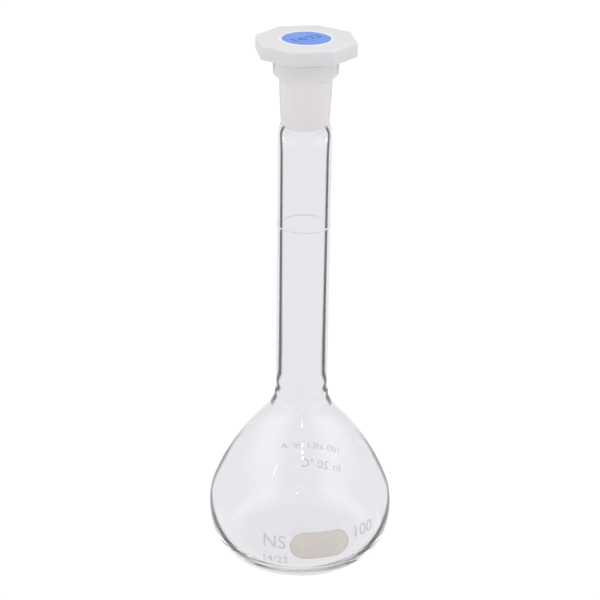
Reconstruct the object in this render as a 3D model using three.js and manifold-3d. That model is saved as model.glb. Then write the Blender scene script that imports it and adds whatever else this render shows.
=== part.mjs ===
// A 100 ml volumetric flask with its stopper. A pear-shaped glass bulb carries a long neck, which
// ends in a tapered socket with a thick rim. A hollow plastic stopper with an eight-sided head
// closes the socket. Millimetres, +Z up; the flask stands on Z = 0 with its axis on the Z axis.

import * as THREE from 'three';
import { mergeVertices } from 'three/addons/utils/BufferGeometryUtils.js';
import Module from 'manifold-3d';

// Every turned surface has this many facets, so that surfaces which face each other are parallel.
const FACETS = 48;

// Straight steps that each curved stretch of an outline is made of
const PUNT_STEPS = 4;
const BOWL_STEPS = 10;
const BELLY_STEPS = 3;
const SHOULDER_STEPS = 6;
const WELD_STEPS = 5;
const BLEND_STEPS = 5;
const ROUNDING_STEPS = 3;
const PANEL_END_STEPS = 10;

// Base and bulb of the flask
const PUNT_RADIUS = 13; // shallow hollow pushed up in the middle of the base
const PUNT_DEPTH = 1.2;
const FOOT_RADIUS = 20.7; // outer edge of the flat ring that the flask stands on
const FLOOR_THICKNESS = 2;
const BELLY_RADIUS = 30.45; // widest part of the bulb
const BELLY_HEIGHT = 16.2;
const BOWL_FULLNESS = 0.88; // power of the sine between foot and belly, below 1 for a fuller bowl
const BELLY_ARC = 20.6; // radius of the outline above the belly
const BELLY_ARC_END = THREE.MathUtils.degToRad(21.7);
const SHOULDER_ARC = 76.8; // radius of the nearly straight shoulder that follows
const SHOULDER_ARC_END = THREE.MathUtils.degToRad(43.8);
const BULB_WALL = 1.1;

// Neck
const NECK_RADIUS = 8.45;
const NECK_WALL = 1.45;
const RING_HEIGHT = 115.8; // level that 100 ml fills the flask to
const RING_WIDTH = 0.5;

// Tapered socket, a standard joint that is 14.5 wide at its mouth and loses 1 in 10 of its length
const MOUTH_HEIGHT = 169.5;
const MOUTH_RADIUS = 7.25;
const SOCKET_LENGTH = 23;
const TAPER = 1 / 20; // radius lost in each millimetre of depth
const SOCKET_WALL = 1.35;
const SOCKET_SHOULDER_LOW = 146; // the neck draws in to the socket between these two heights
const SOCKET_SHOULDER_HIGH = 150.2;
const BORE_FLARE = 3.5; // below the socket the bore opens to the neck's over this height

// Rim round the mouth
const RIM_RADIUS = 10.2;
const RIM_HEIGHT = 4.3;
const RIM_UNDERCUT = 1.8; // height of the slope below the rim
const RIM_ROUNDING = 0.9;
const MOUTH_CHAMFER = 0.25;

// Stopper
const PLUG_BOTTOM = 148.1;
const PLUG_CLEARANCE = 0.05; // gap between plug and socket, on the radius
const PLUG_WALL = 1.3;
const PLUG_ROUNDING = 0.7;
const HEAD_BOTTOM = 172;
const HEAD_TOP = 175.9;
const HEAD_SIDES = 8;
const HEAD_CORNER_RADIUS = 16.1;
const HEAD_TURN = THREE.MathUtils.degToRad(-13.25); // direction of one corner, from +X
const HEAD_BEVEL = 0.9;

// Coloured disc pressed into the stopper's head
const DISC_RADIUS = 7.45;
const DISC_THICKNESS = 1.1;
const DISC_EDGE = 0.2; // chamfer round its top
const DISC_RING_DEPTH = 2; // ring under the disc that holds it in the hollow plug
const DISC_RING_WALL = 1;
const DISC_GAP = 0.05;

// Enamel: the writing panel's size as seen from in front of it, and its place on the bulb
const ENAMEL_GAP = 0.05;
const ENAMEL_THICKNESS = 0.12;
const PANEL_WIDTH = 19.6;
const PANEL_HEIGHT = 9.8;
const PANEL_LEVEL = 15.7;
const PANEL_DIRECTION = THREE.MathUtils.degToRad(-77); // from +X, so it faces nearly to -Y

// Finishes
const glass = new THREE.MeshStandardMaterial({ color: 0xe6e8ec, roughness: 0.05, metalness: 0 });
const milkyPlastic = new THREE.MeshStandardMaterial({ color: 0xeeedf0, roughness: 0.45, metalness: 0 });
const bluePlastic = new THREE.MeshStandardMaterial({ color: 0x6f9ff0, roughness: 0.4, metalness: 0 });
const greyEnamel = new THREE.MeshStandardMaterial({ color: 0xc8c6c2, roughness: 0.8, metalness: 0 });
const whiteEnamel = new THREE.MeshStandardMaterial({ color: 0xe4e4e4, roughness: 0.7, metalness: 0 });

const MERGE_DISTANCE = 1e-4; // points closer than this are one point

const wasm = await Module();
wasm.setup();

// An outline is a list of points, with x the distance from the axis and y the height.
function point(radius, height) {
  return new THREE.Vector2(radius, height);
}

// Points of an arc round (radius, height). Angles run from 0, outwards, to 90 degrees, upwards.
function arc(radius, height, size, from, to, steps) {
  const points = [];
  for (let i = 0; i <= steps; i++) {
    const angle = from + (to - from) * i / steps;
    points.push(point(radius + size * Math.cos(angle), height + size * Math.sin(angle)));
  }
  return points;
}

// Points of an S-shaped change from one radius to another, upright at both of its ends.
function blend(fromRadius, fromHeight, toRadius, toHeight) {
  const points = [];
  for (let i = 0; i <= BLEND_STEPS; i++) {
    const share = (1 - Math.cos(Math.PI * i / BLEND_STEPS)) / 2;
    const height = fromHeight + (toHeight - fromHeight) * i / BLEND_STEPS;
    points.push(point(fromRadius + (toRadius - fromRadius) * share, height));
  }
  return points;
}

// The hollow in the middle of the base, from the axis to the flat ring round it.
function punt(ringHeight) {
  const points = [];
  for (let i = 0; i <= PUNT_STEPS; i++) {
    const rise = PUNT_DEPTH * (1 + Math.cos(Math.PI * i / PUNT_STEPS)) / 2;
    points.push(point(PUNT_RADIUS * i / PUNT_STEPS, ringHeight + rise));
  }
  return points;
}

// The flat-bottomed bowl between the foot and the belly.
function bowl(footRadius, floorHeight, bellyRadius) {
  const points = [];
  for (let i = 0; i <= BOWL_STEPS; i++) {
    const angle = Math.PI / 2 * i / BOWL_STEPS;
    const radius = footRadius + (bellyRadius - footRadius) * Math.sin(angle) ** BOWL_FULLNESS;
    points.push(point(radius, floorHeight + (BELLY_HEIGHT - floorHeight) * (1 - Math.cos(angle))));
  }
  return points;
}

// The arc above the belly, on the surface that lies the given depth inside the outer one.
function bellyArc(depth) {
  return arc(BELLY_RADIUS - BELLY_ARC, BELLY_HEIGHT, BELLY_ARC - depth, 0, BELLY_ARC_END, BELLY_STEPS);
}

// The shoulder arc and the hollow curve that leads from it into the neck.
function shoulder(depth, neckDepth) {
  const belly = bellyArc(0).at(-1);
  const shoulderRadius = belly.x - SHOULDER_ARC * Math.cos(BELLY_ARC_END);
  const shoulderHeight = belly.y - SHOULDER_ARC * Math.sin(BELLY_ARC_END);
  const end = point(
    shoulderRadius + SHOULDER_ARC * Math.cos(SHOULDER_ARC_END),
    shoulderHeight + SHOULDER_ARC * Math.sin(SHOULDER_ARC_END)
  );
  const weld = (end.x - NECK_RADIUS) / (1 - Math.cos(SHOULDER_ARC_END));
  const weldRadius = NECK_RADIUS + weld;
  const weldHeight = end.y + weld * Math.sin(SHOULDER_ARC_END);
  const size = SHOULDER_ARC - depth;
  return [
    ...arc(shoulderRadius, shoulderHeight, size, BELLY_ARC_END, SHOULDER_ARC_END, SHOULDER_STEPS),
    ...arc(weldRadius, weldHeight, -weld - neckDepth, SHOULDER_ARC_END, 0, WELD_STEPS).slice(1)
  ];
}

function boreRadius(height) {
  return MOUTH_RADIUS - (MOUTH_HEIGHT - height) * TAPER;
}

// A turned solid. The outline runs up its outside, and closes on itself or starts and ends on the axis.
function turned(outline) {
  return new THREE.LatheGeometry(outline, FACETS).rotateX(Math.PI / 2);
}

function toSolid(geometry) {
  const bare = geometry.clone();
  bare.deleteAttribute('normal');
  bare.deleteAttribute('uv');
  const merged = mergeVertices(bare, MERGE_DISTANCE);
  return new wasm.Manifold(new wasm.Mesh({
    numProp: 3,
    vertProperties: new Float32Array(merged.attributes.position.array),
    triVerts: new Uint32Array(merged.index.array)
  }));
}

function toGeometry(solid) {
  const mesh = solid.getMesh();
  const geometry = new THREE.BufferGeometry();
  geometry.setAttribute('position', new THREE.BufferAttribute(mesh.vertProperties, 3));
  geometry.setIndex(new THREE.BufferAttribute(mesh.triVerts, 1));
  geometry.computeVertexNormals();
  return geometry;
}

function piece(name, geometry, material) {
  const mesh = new THREE.Mesh(geometry, material);
  mesh.name = name;
  return mesh;
}

// The one piece of blown glass: base, bulb, neck, socket and rim.
function flask() {
  const socketWaist = boreRadius(SOCKET_SHOULDER_HIGH) + SOCKET_WALL;
  const rimBottom = MOUTH_HEIGHT - RIM_HEIGHT;
  const rimInset = RIM_RADIUS - RIM_ROUNDING;
  const socketTop = rimBottom - RIM_UNDERCUT;
  const neckBore = NECK_RADIUS - NECK_WALL;
  const socketBottom = MOUTH_HEIGHT - SOCKET_LENGTH;
  const outside = [
    ...punt(0),
    ...bowl(FOOT_RADIUS, 0, BELLY_RADIUS),
    ...bellyArc(0).slice(1),
    ...shoulder(0, 0).slice(1),
    ...blend(NECK_RADIUS, SOCKET_SHOULDER_LOW, socketWaist, SOCKET_SHOULDER_HIGH),
    point(boreRadius(socketTop) + SOCKET_WALL, socketTop),
    point(RIM_RADIUS, rimBottom),
    ...arc(rimInset, MOUTH_HEIGHT - RIM_ROUNDING, RIM_ROUNDING, 0, Math.PI / 2, ROUNDING_STEPS)
  ];
  const inside = [
    ...punt(FLOOR_THICKNESS),
    ...bowl(FOOT_RADIUS - BULB_WALL, FLOOR_THICKNESS, BELLY_RADIUS - BULB_WALL),
    ...bellyArc(BULB_WALL).slice(1),
    ...shoulder(BULB_WALL, NECK_WALL).slice(1),
    ...blend(neckBore, socketBottom - BORE_FLARE, boreRadius(socketBottom), socketBottom),
    point(boreRadius(MOUTH_HEIGHT - MOUTH_CHAMFER), MOUTH_HEIGHT - MOUTH_CHAMFER),
    point(MOUTH_RADIUS + MOUTH_CHAMFER, MOUTH_HEIGHT)
  ];
  return turned([...outside, ...inside.reverse()]);
}

// An eight-sided slab with rounded edges.
function stopperHead() {
  const reach = HEAD_CORNER_RADIUS - HEAD_BEVEL / Math.cos(Math.PI / HEAD_SIDES);
  const corners = [];
  for (let i = 0; i < HEAD_SIDES; i++) {
    const angle = HEAD_TURN + i * 2 * Math.PI / HEAD_SIDES;
    corners.push(point(reach * Math.cos(angle), reach * Math.sin(angle)));
  }
  return new THREE.ExtrudeGeometry(new THREE.Shape(corners), {
    depth: HEAD_TOP - HEAD_BOTTOM - 2 * HEAD_BEVEL,
    bevelThickness: HEAD_BEVEL,
    bevelSize: HEAD_BEVEL,
    bevelSegments: ROUNDING_STEPS
  }).translate(0, 0, HEAD_BOTTOM + HEAD_BEVEL);
}

// The head with its tapered plug, hollow from the seat of the disc down to the plug's floor.
function stopper() {
  const seat = HEAD_TOP - DISC_THICKNESS - DISC_GAP;
  const seatRadius = DISC_RADIUS + DISC_GAP;
  const bottom = boreRadius(PLUG_BOTTOM) - PLUG_CLEARANCE;
  const top = boreRadius(HEAD_BOTTOM) - PLUG_CLEARANCE;
  const middle = (HEAD_BOTTOM + seat) / 2;
  const aboveHead = HEAD_TOP + 1;
  const edgeHeight = PLUG_BOTTOM + PLUG_ROUNDING;
  const edge = boreRadius(edgeHeight) - PLUG_CLEARANCE;
  const plug = toSolid(turned([
    point(0, PLUG_BOTTOM),
    ...arc(edge - PLUG_ROUNDING, edgeHeight, PLUG_ROUNDING, -Math.PI / 2, 0, ROUNDING_STEPS),
    point(top, HEAD_BOTTOM),
    point(top, middle),
    point(0, middle)
  ]));
  const hollow = toSolid(turned([
    point(0, PLUG_BOTTOM + PLUG_WALL),
    point(bottom - PLUG_WALL, PLUG_BOTTOM + PLUG_WALL),
    point(top - PLUG_WALL, seat),
    point(seatRadius, seat),
    point(seatRadius, aboveHead),
    point(0, aboveHead)
  ]));
  return toGeometry(toSolid(stopperHead()).add(plug).subtract(hollow));
}

// The disc, with the short ring under it that grips the hollow plug.
function stopperDisc() {
  const underside = HEAD_TOP - DISC_THICKNESS;
  const ringBottom = underside - DISC_RING_DEPTH;
  const ringOutside = boreRadius(HEAD_BOTTOM) - PLUG_CLEARANCE - PLUG_WALL - 3 * DISC_GAP;
  const ringInside = ringOutside - DISC_RING_WALL;
  return turned([
    point(0, underside),
    point(ringInside, underside),
    point(ringInside, ringBottom),
    point(ringOutside - DISC_EDGE, ringBottom),
    point(ringOutside, ringBottom + DISC_EDGE),
    point(ringOutside, underside),
    point(DISC_RADIUS, underside),
    point(DISC_RADIUS, HEAD_TOP - DISC_EDGE),
    point(DISC_RADIUS - DISC_EDGE, HEAD_TOP),
    point(0, HEAD_TOP)
  ]);
}

// The line of enamel round the neck that marks the flask's volume.
function calibrationRing() {
  const inside = NECK_RADIUS + ENAMEL_GAP;
  const outside = inside + ENAMEL_THICKNESS;
  const low = RING_HEIGHT - RING_WIDTH / 2;
  const high = RING_HEIGHT + RING_WIDTH / 2;
  return turned([
    point(inside, low),
    point(outside, low),
    point(outside, high),
    point(inside, high),
    point(inside, low)
  ]);
}

// An outline moved outwards by a distance.
function raised(outline, distance) {
  return outline.map((at, i) => {
    const before = outline[Math.max(i - 1, 0)];
    const after = outline[Math.min(i + 1, outline.length - 1)];
    const along = after.clone().sub(before).normalize();
    return point(at.x + along.y * distance, at.y - along.x * distance);
  });
}

// The matt panel for notes: a long shape with round ends that follows the bulb.
function writingPanel() {
  const surface = [...bowl(FOOT_RADIUS, 0, BELLY_RADIUS).slice(2), ...bellyArc(0).slice(1)];
  const back = raised(surface, ENAMEL_GAP);
  const front = raised(surface, ENAMEL_GAP + ENAMEL_THICKNESS);
  const shell = toSolid(turned([...front, ...back.reverse(), front[0]]));
  const end = PANEL_HEIGHT / 2;
  const centre = PANEL_WIDTH / 2 - end;
  const outline = new THREE.Shape();
  outline.absarc(centre, 0, end, -Math.PI / 2, Math.PI / 2);
  outline.absarc(-centre, 0, end, Math.PI / 2, Math.PI * 3 / 2);
  const prism = new THREE.ExtrudeGeometry(outline, {
    depth: BELLY_RADIUS,
    bevelEnabled: false,
    curveSegments: PANEL_END_STEPS
  });
  prism.rotateX(Math.PI / 2);
  prism.rotateZ(PANEL_DIRECTION + Math.PI / 2);
  prism.translate(
    FOOT_RADIUS / 2 * Math.cos(PANEL_DIRECTION),
    FOOT_RADIUS / 2 * Math.sin(PANEL_DIRECTION),
    PANEL_LEVEL
  );
  return toGeometry(shell.intersect(toSolid(prism)));
}

const volumetricFlask = new THREE.Group();
volumetricFlask.add(piece('flask', flask(), glass));
volumetricFlask.add(piece('calibration_ring', calibrationRing(), whiteEnamel));
volumetricFlask.add(piece('writing_panel', writingPanel(), greyEnamel));
volumetricFlask.add(piece('stopper', stopper(), milkyPlastic));
volumetricFlask.add(piece('stopper_disc', stopperDisc(), bluePlastic));

export default volumetricFlask;
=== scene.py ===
"""A 100 ml volumetric flask with its plastic stopper, modelled round the CAD frame."""

import math

import bpy
from bpy.props import FloatProperty, FloatVectorProperty, PointerProperty, StringProperty
from bpy.types import Operator, Panel, PropertyGroup
from mathutils import Matrix, Vector
from mathutils.kdtree import KDTree


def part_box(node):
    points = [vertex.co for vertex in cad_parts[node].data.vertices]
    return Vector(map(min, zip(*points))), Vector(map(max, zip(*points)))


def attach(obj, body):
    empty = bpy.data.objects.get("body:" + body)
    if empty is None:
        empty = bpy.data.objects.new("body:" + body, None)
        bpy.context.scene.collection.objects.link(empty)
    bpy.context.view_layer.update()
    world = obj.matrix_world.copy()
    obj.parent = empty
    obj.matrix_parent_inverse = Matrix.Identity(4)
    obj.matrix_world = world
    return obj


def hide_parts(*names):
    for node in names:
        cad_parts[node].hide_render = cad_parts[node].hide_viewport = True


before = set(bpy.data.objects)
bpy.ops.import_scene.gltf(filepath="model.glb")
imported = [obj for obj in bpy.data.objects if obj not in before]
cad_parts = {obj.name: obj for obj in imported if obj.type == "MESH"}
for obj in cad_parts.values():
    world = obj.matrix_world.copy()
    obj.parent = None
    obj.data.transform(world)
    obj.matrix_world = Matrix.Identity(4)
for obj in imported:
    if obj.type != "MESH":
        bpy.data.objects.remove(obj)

bl_info = {
    "name": "Volumetric Flask",
    "version": (1, 0, 0),
    "blender": (4, 5, 0),
    "location": "3D View > Sidebar > Flask",
    "description": "Models a stoppered volumetric flask of clear glass",
    "category": "Add Mesh",
}

MM = 0.001
FACETS = 144  # round every turned surface
MERGE = 0.0005 * MM  # points closer than this are one point
CURVE_STEP = 0.5 * MM  # length of a straight step along a curved outline
STRAIGHT_STEP = 3 * MM  # length of a step along a straight outline
FEWEST_STEPS = 4  # along a short curve
LETTER_STEPS = 4  # along each curve of a letter
BEVEL_STEPS = 6
PANEL_END_STEPS = 96  # round the circle that both ends of the panel come from
RIGHT_ANGLE = math.pi / 2
CREASE = math.radians(35)  # edges sharper than this stay sharp

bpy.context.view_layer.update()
FLASK_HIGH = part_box("flask")[1]
RING_LOW, RING_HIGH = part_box("calibration_ring")
STOPPER_LOW, STOPPER_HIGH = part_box("stopper")
DISC_LOW, DISC_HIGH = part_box("stopper_disc")

CAPITAL_HEIGHT = 0.7  # height of a capital letter in text of size 1
SURFACE_GROUP = "mottled_surface"

# Painted shade and reflection: where the eye looks along the wall, a dark line is painted into the
# glass's colour. For a height in mm on the outer surface: the cosine between sight and normal in
# the middle of that line, the change of cosine from there to the line's edge, and how dark the line
# is.
PAINTED_SHADE_LINES = (
    (2.5, 0.40, 0.12, 0.0),
    (8, 0.37, 0.13, 1.0),
    (12, 0.31, 0.14, 1.0),
    (16, 0.23, 0.16, 1.0),
    (22, 0.14, 0.14, 1.0),
    (33, 0.15, 0.17, 1.0),
    (37, 0.14, 0.15, 0.9),
    (43, 0.20, 0.20, 0.1),
    (52.6, 0.32, 0.22, 0.1),
    (53.2, 0.32, 0.22, 0.9),
    (55, 0.33, 0.24, 1.0),
    (57.8, 0.24, 0.22, 1.0),
    (58.6, 0.38, 0.24, 1.0),
    (59.8, 0.40, 0.20, 1.0),
    (61.5, 0.30, 0.19, 1.0),
    (65.5, 0.47, 0.16, 1.0),
    (75, 0.49, 0.15, 1.0),
    (90, 0.49, 0.13, 1.0),
    (140, 0.49, 0.12, 1.0),
    (146, 0.46, 0.12, 1.0),
    (149, 0.54, 0.12, 1.0),
    (150, 0.58, 0.12, 0.0),
    (152, 0.20, 0.20, 0.25),
    (164, 0.20, 0.20, 0.2),
    (166, 0.16, 0.16, 0.15),
    (168, 0.26, 0.24, 0.55),
    (169.8, 0.26, 0.24, 0.5),
    (170.4, 0.26, 0.24, 0.1),
)
# attributes that carry the painted dark lines on the glass
PAINTED_SHADE_NAMES = ("sight_along", "sight_reach", "painted_shade_dark")
BAND_CORE = 0.3  # share of a line's reach that is fully dark

# Clear glass
GLASS_IOR = 1.473
GLASS_DENSITY = 6  # of the tinge
WAVE_SIZE = 12 * MM
WAVE_DEPTH = 0.02 * MM
WAVE_STRENGTH = 0.6
FLOOR_FADE = 1 * MM  # over which the thick base's shade ends at its edge
FLOOR_MARGIN = 0.5 * MM  # above the floor's highest point

# Ground glass inside the socket: least roughness, and how much the grit adds
GRIT_SIZE = 0.4 * MM
GROUND_ROUGHNESS = 0.25
GRIT_ROUGHNESS = 0.2

# Moulded plastic
PLASTIC_IOR = 1.5
# Painted light: the plug is painted lighter than the head, for light through its thin wall
HEAD_FADE = 1 * MM  # height over which the plug's shade becomes the head's
PLUG_WARMTH = (0.95, 0.93, 0.90)  # tint at the plug's lower end
# Painted highlight: a pale bluish glow painted on the head round the disc
BEAD_PAINTED_GLOW = (0.7, 1.4)  # where the glow round the disc fades, in radii of the bead
MILKINESS = 0.3
MILK_DEPTH = 2 * MM  # how deep light goes
MILK_SPREAD = (1.0, 0.95, 0.9)  # share of that depth for red, green and blue

# Fired enamel
ENAMEL_ALPHA = 0.8  # a thin line lets some light through
LINE_MOTTLE = 0.92
PANEL_GLOSS = 0.3

# Noise values between which the mottle changes colour and the gloss changes
MOTTLE_RANGE = (0.35, 0.65)
GLOSS_RANGE = (0.3, 0.7)

# Stage
FLOOR_BRIGHTNESS = 1.05
FLOOR_DROP = 0.05 * MM  # keeps the floor clear of the flask's foot
SIDE_LAMP_RISE = (0.1, 0.6)  # upward part of the direction where a side lamp begins and is full
SIDE_LAMP_TURN = (0.3, 0.8)  # the same for its sideways part
BOUNCES = 64  # light runs a long way inside the thick glass of the base
DIFFUSE_BOUNCES = 8
CLIP_START = 10 * MM

ENAMEL_GAP = 0.05 * MM
ENAMEL_THICKNESS = 0.12 * MM
TRIM_MARGIN = 1 * MM  # by which a cutter or a coat goes past what is kept
BELLY_RADIUS = FLASK_HIGH.x
MOUTH_HEIGHT = FLASK_HIGH.z
NECK_RADIUS = RING_HIGH.x - ENAMEL_GAP - ENAMEL_THICKNESS


# Settings


def length(name, description, millimetres):
    """A size in the sidebar."""
    default = millimetres * MM
    return FloatProperty(name=name, description=description, default=default, unit="LENGTH")


def angle(name, description, degrees):
    """An angle in the sidebar."""
    default = math.radians(degrees)
    return FloatProperty(name=name, description=description, default=default, subtype="ANGLE")


def colour(name, description, value):
    """A colour in the sidebar."""
    return FloatVectorProperty(
        name=name, description=description, default=value, subtype="COLOR", min=0, max=1
    )


def number(name, description, value):
    """A plain number in the sidebar."""
    return FloatProperty(name=name, description=description, default=value)


class FlaskSizes(PropertyGroup):
    """Sizes of the glass."""

    punt_radius: length("Punt Radius", "Radius of the hollow in the base", 13)
    punt_depth: length("Punt Depth", "Height of the hollow in the base", 1.2)
    foot_radius: length("Foot Radius", "Outer edge of the flat ring under the flask", 20.7)
    floor: length("Floor", "Thickness of the glass in the base", 2)
    belly_height: length("Belly Height", "Height of the widest part", 16.2)
    fullness: number("Fullness", "Power of the sine between foot and belly", 0.88)
    belly_arc: length("Belly Arc", "Radius of the outline above the belly", 20.6)
    belly_end: angle("Belly End", "Angle where the belly's arc ends", 21.7)
    shoulder_arc: length("Shoulder Arc", "Radius of the outline of the shoulder", 76.8)
    shoulder_end: angle("Shoulder End", "Angle where the shoulder's arc ends", 43.8)
    bulb_wall: length("Bulb Wall", "Thickness of the bulb's glass", 1.1)
    neck_wall: length("Neck Wall", "Thickness of the neck's glass", 1.45)
    weld_height: length("Weld Height", "Height of the weld between neck and bulb", 56.5)
    weld_spread: length("Weld Spread", "How far the weld's ripples reach", 4)
    weld_pitch: length("Weld Pitch", "Distance between the weld's ripples", 4.6)
    weld_outside: length("Weld Outside", "Depth of the ripples outside", 0.1)
    weld_inside: length("Weld Inside", "Depth of the ripples inside", 0.22)
    unevenness: length("Unevenness", "How far the blown inner surface wanders", 0.08)
    unevenness_scale: length("Unevenness Scale", "Size of the waves in the blown surface", 14)


class SocketSizes(PropertyGroup):
    """Sizes of the tapered socket and the rim round its mouth."""

    radius: length("Radius", "Radius of the socket at its mouth", 7.25)
    depth: length("Depth", "Length of the tapered bore", 23)
    taper: number("Taper", "Radius lost for each unit of depth", 0.05)
    wall: length("Wall", "Thickness of the glass round the socket", 1.35)
    shoulder_low: length("Shoulder Low", "Where the neck begins to draw in", 146)
    shoulder_high: length("Shoulder High", "Where the neck has become the socket", 150.2)
    flare: length("Flare", "Height over which the bore opens below the socket", 3.5)
    rim_radius: length("Rim Radius", "Radius of the rim", 10.2)
    rim_height: length("Rim Height", "Height of the rim", 4.3)
    rim_slope: length("Rim Slope", "Height of the slope below the rim", 1.8)
    rim_rounding: length("Rim Rounding", "Radius of the rim's edges", 0.9)
    mouth_rounding: length("Mouth Rounding", "Radius of the bore's edge", 0.35)


class StopperSizes(PropertyGroup):
    """Sizes of the stopper and its disc."""

    seat_depth: length("Seat Depth", "How far the plug beds into the ground glass", 0.01)
    wall: length("Wall", "Thickness of the hollow plug", 1.3)
    plug_rounding: length("Plug Rounding", "Radius of the plug's lower edge", 0.7)
    head_height: length("Head Height", "Thickness of the head", 4.65)
    head_rise: length("Head Rise", "How far the head stands above its nominal top", 0.15)
    corner_radius: length("Corner Radius", "Distance from the axis to a corner of the head", 16.1)
    head_turn: angle("Head Turn", "Direction of one corner of the head", -13.25)
    head_bevel: length("Head Bevel", "Radius of the head's edges", 0.5)
    bead: length("Bead", "Radius of the bead round the disc", 0.45)
    bead_rise: length("Bead Rise", "How far the bead stands out of the head", 0.18)
    disc_thickness: length("Disc Thickness", "Thickness of the coloured disc", 1.1)
    disc_gap: length("Disc Gap", "Gap round the disc", 0.05)
    disc_ring_depth: length("Disc Ring Depth", "Depth of the ring under the disc", 2)
    disc_ring_wall: length("Disc Ring Wall", "Thickness of the ring under the disc", 1)
    disc_edge: length("Disc Edge", "Radius of the disc's upper edge", 0.2)
    mark_height: length("Mark Height", "Height of the sunk figures", 3.4)
    mark_depth: length("Mark Depth", "Depth of the sunk figures", 0.3)
    mark_turn: angle("Mark Turn", "Direction of the sunk figures", 36)


class EnamelSizes(PropertyGroup):
    """Sizes of the fired-on enamel, and the plain measuring words on the glass."""

    panel_width: length("Panel Width", "Width of the writing panel", 19.6)
    panel_height: length("Panel Height", "Height of the writing panel", 9.8)
    panel_level: length("Panel Level", "Height of the panel's middle", 15.7)
    panel_direction: angle("Panel Direction", "Direction that the panel faces", -77)
    panel_rim: length("Panel Rim", "Width of the thinner enamel round the panel", 0.7)
    volume: StringProperty(name="Volume", description="Volume line", default="100 ±0.1 ml  A")
    warmth: StringProperty(name="Temperature", description="Temperature line", default="In 20 °C")
    joint: StringProperty(name="Joint", description="Kind of joint", default="NS")
    joint_size: StringProperty(name="Joint Size", description="Size of the joint", default="14/23")
    front: StringProperty(name="Front", description="Number beside the panel", default="100")


class Finishes(PropertyGroup):
    """Colours of the finishes."""

    glass: colour("Glass", "Clear glass", (0.985, 0.985, 0.99))
    # Painted shade: the dark colour painted where the glass is seen along its wall
    glass_edge_painted_shade: colour("Glass Edge", "Glass seen along its wall", (0.018, 0.016, 0.02))
    glass_floor: colour("Glass Floor", "Clear glass over the thick base", (0.93, 0.915, 0.93))
    glass_depth: colour("Glass Depth", "Tinge of thick glass", (0.93, 0.95, 0.80))
    plastic: colour("Plastic", "Milky plastic of the stopper's head", (0.725, 0.715, 0.715))
    # Painted light: the head's plastic painted lighter for light through the plug's thin wall
    plug: colour("Plug", "The same plastic where its wall is thin", (0.85, 0.835, 0.825))
    # Painted highlight: pale bluish glow painted on the plastic round the disc
    disc_rim_painted_glow: colour("Disc Rim", "The plastic where the disc shines through", (0.80, 0.85, 0.92))
    disc: colour("Disc", "Coloured disc", (0.12, 0.28, 0.75))
    panel: colour("Panel", "Matt enamel of the writing panel", (0.665, 0.62, 0.575))
    panel_end: colour("Panel End", "The same enamel at the panel's ends", (0.67, 0.67, 0.59))
    panel_rim: colour("Panel Rim", "Thinner enamel round the panel", (0.56, 0.57, 0.51))
    line: colour("Line", "Enamel of the words", (0.70, 0.70, 0.72))
    ring: colour("Ring", "Enamel of the ring", (0.86, 0.85, 0.86))


class StageSettings(PropertyGroup):
    """Camera and light."""

    camera_distance: length("Camera Distance", "How far the camera stands in front", 542.2)
    camera_height: length("Camera Height", "How high the camera stands", 327.9)
    camera_tilt: angle("Camera Tilt", "How far the camera looks down", 23.75)
    camera_turn: angle("Camera Turn", "How far the camera looks to the left", 0.09)
    camera_roll: angle("Camera Roll", "How far the camera leans", 0.78)
    camera_lens: FloatProperty(
        name="Lens", description="Focal length", default=110.3, subtype="DISTANCE_CAMERA"
    )
    floor_radius: length("Floor Radius", "Radius of the floor", 4000)
    floor_light: colour("Floor Light", "Light that the floor sends back", (0.83, 0.82, 0.85))
    shadow: number("Shadow", "How much of the floor takes shadows", 0.3)
    sky: colour("Sky", "Light from the horizon and overhead", (0.80, 0.79, 0.82))
    side_light: colour("Side Light", "Light added by the wide lamps on both sides", (1, 0.97, 0.99))
    lamp_distance: length("Lamp Distance", "How far the small lamps are from the flask", 800)


# Outlines: lists of (radius, height) points


def steps_along(distance):
    """How many straight steps a curve of this length gets."""
    return max(FEWEST_STEPS, math.ceil(distance / CURVE_STEP))


def arc(centre, size, start, end, growth=0.0):
    """Points of an arc whose radius grows along it. Angle 0 points outwards, a right angle up."""
    steps = steps_along(abs(size * (end - start)))
    points = []
    for share in [i / steps for i in range(steps + 1)]:
        turn = start + (end - start) * share
        reach = size + growth * share * share * (3 - 2 * share)
        points.append((centre[0] + reach * math.cos(turn), centre[1] + reach * math.sin(turn)))
    return points


def blend(start, end):
    """Points of an S-shaped change of radius, upright at both ends."""
    steps = steps_along(math.dist(start, end))
    shares = [i / steps for i in range(steps + 1)]
    return [
        (
            start[0] + (end[0] - start[0]) * (1 - math.cos(math.pi * share)) / 2,
            start[1] + (end[1] - start[1]) * share,
        )
        for share in shares
    ]


def straight(start, end, step):
    """Points of a straight stretch, with one every step or so."""
    steps = max(1, round(math.dist(start, end) / step))
    return [
        tuple(a + (b - a) * i / steps for a, b in zip(start, end)) for i in range(steps + 1)
    ]


def punt(sizes, level):
    """The hollow in the middle of the base, from the axis outwards."""
    steps = steps_along(sizes.punt_radius)
    return [
        (
            sizes.punt_radius * i / steps,
            level + sizes.punt_depth * (1 + math.cos(math.pi * i / steps)) / 2,
        )
        for i in range(steps + 1)
    ]


def bowl(sizes, depth, level):
    """The flat-bottomed bowl between foot and belly, the given depth inside the outer one."""
    foot = sizes.foot_radius - depth
    belly = BELLY_RADIUS - depth
    rise = sizes.belly_height - level
    steps = steps_along(rise + belly - foot)
    turns = [RIGHT_ANGLE * i / steps for i in range(steps + 1)]
    return [
        (foot + (belly - foot) * math.sin(t) ** sizes.fullness, level + rise * (1 - math.cos(t)))
        for t in turns
    ]


def weld_ripple(sizes, height, size):
    """How far the weld's ripple moves the surface outwards at a height."""
    offset = height - sizes.weld_height
    fade = math.exp(-((offset / sizes.weld_spread) ** 2))
    return size * fade * math.sin(math.tau * offset / sizes.weld_pitch)


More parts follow.
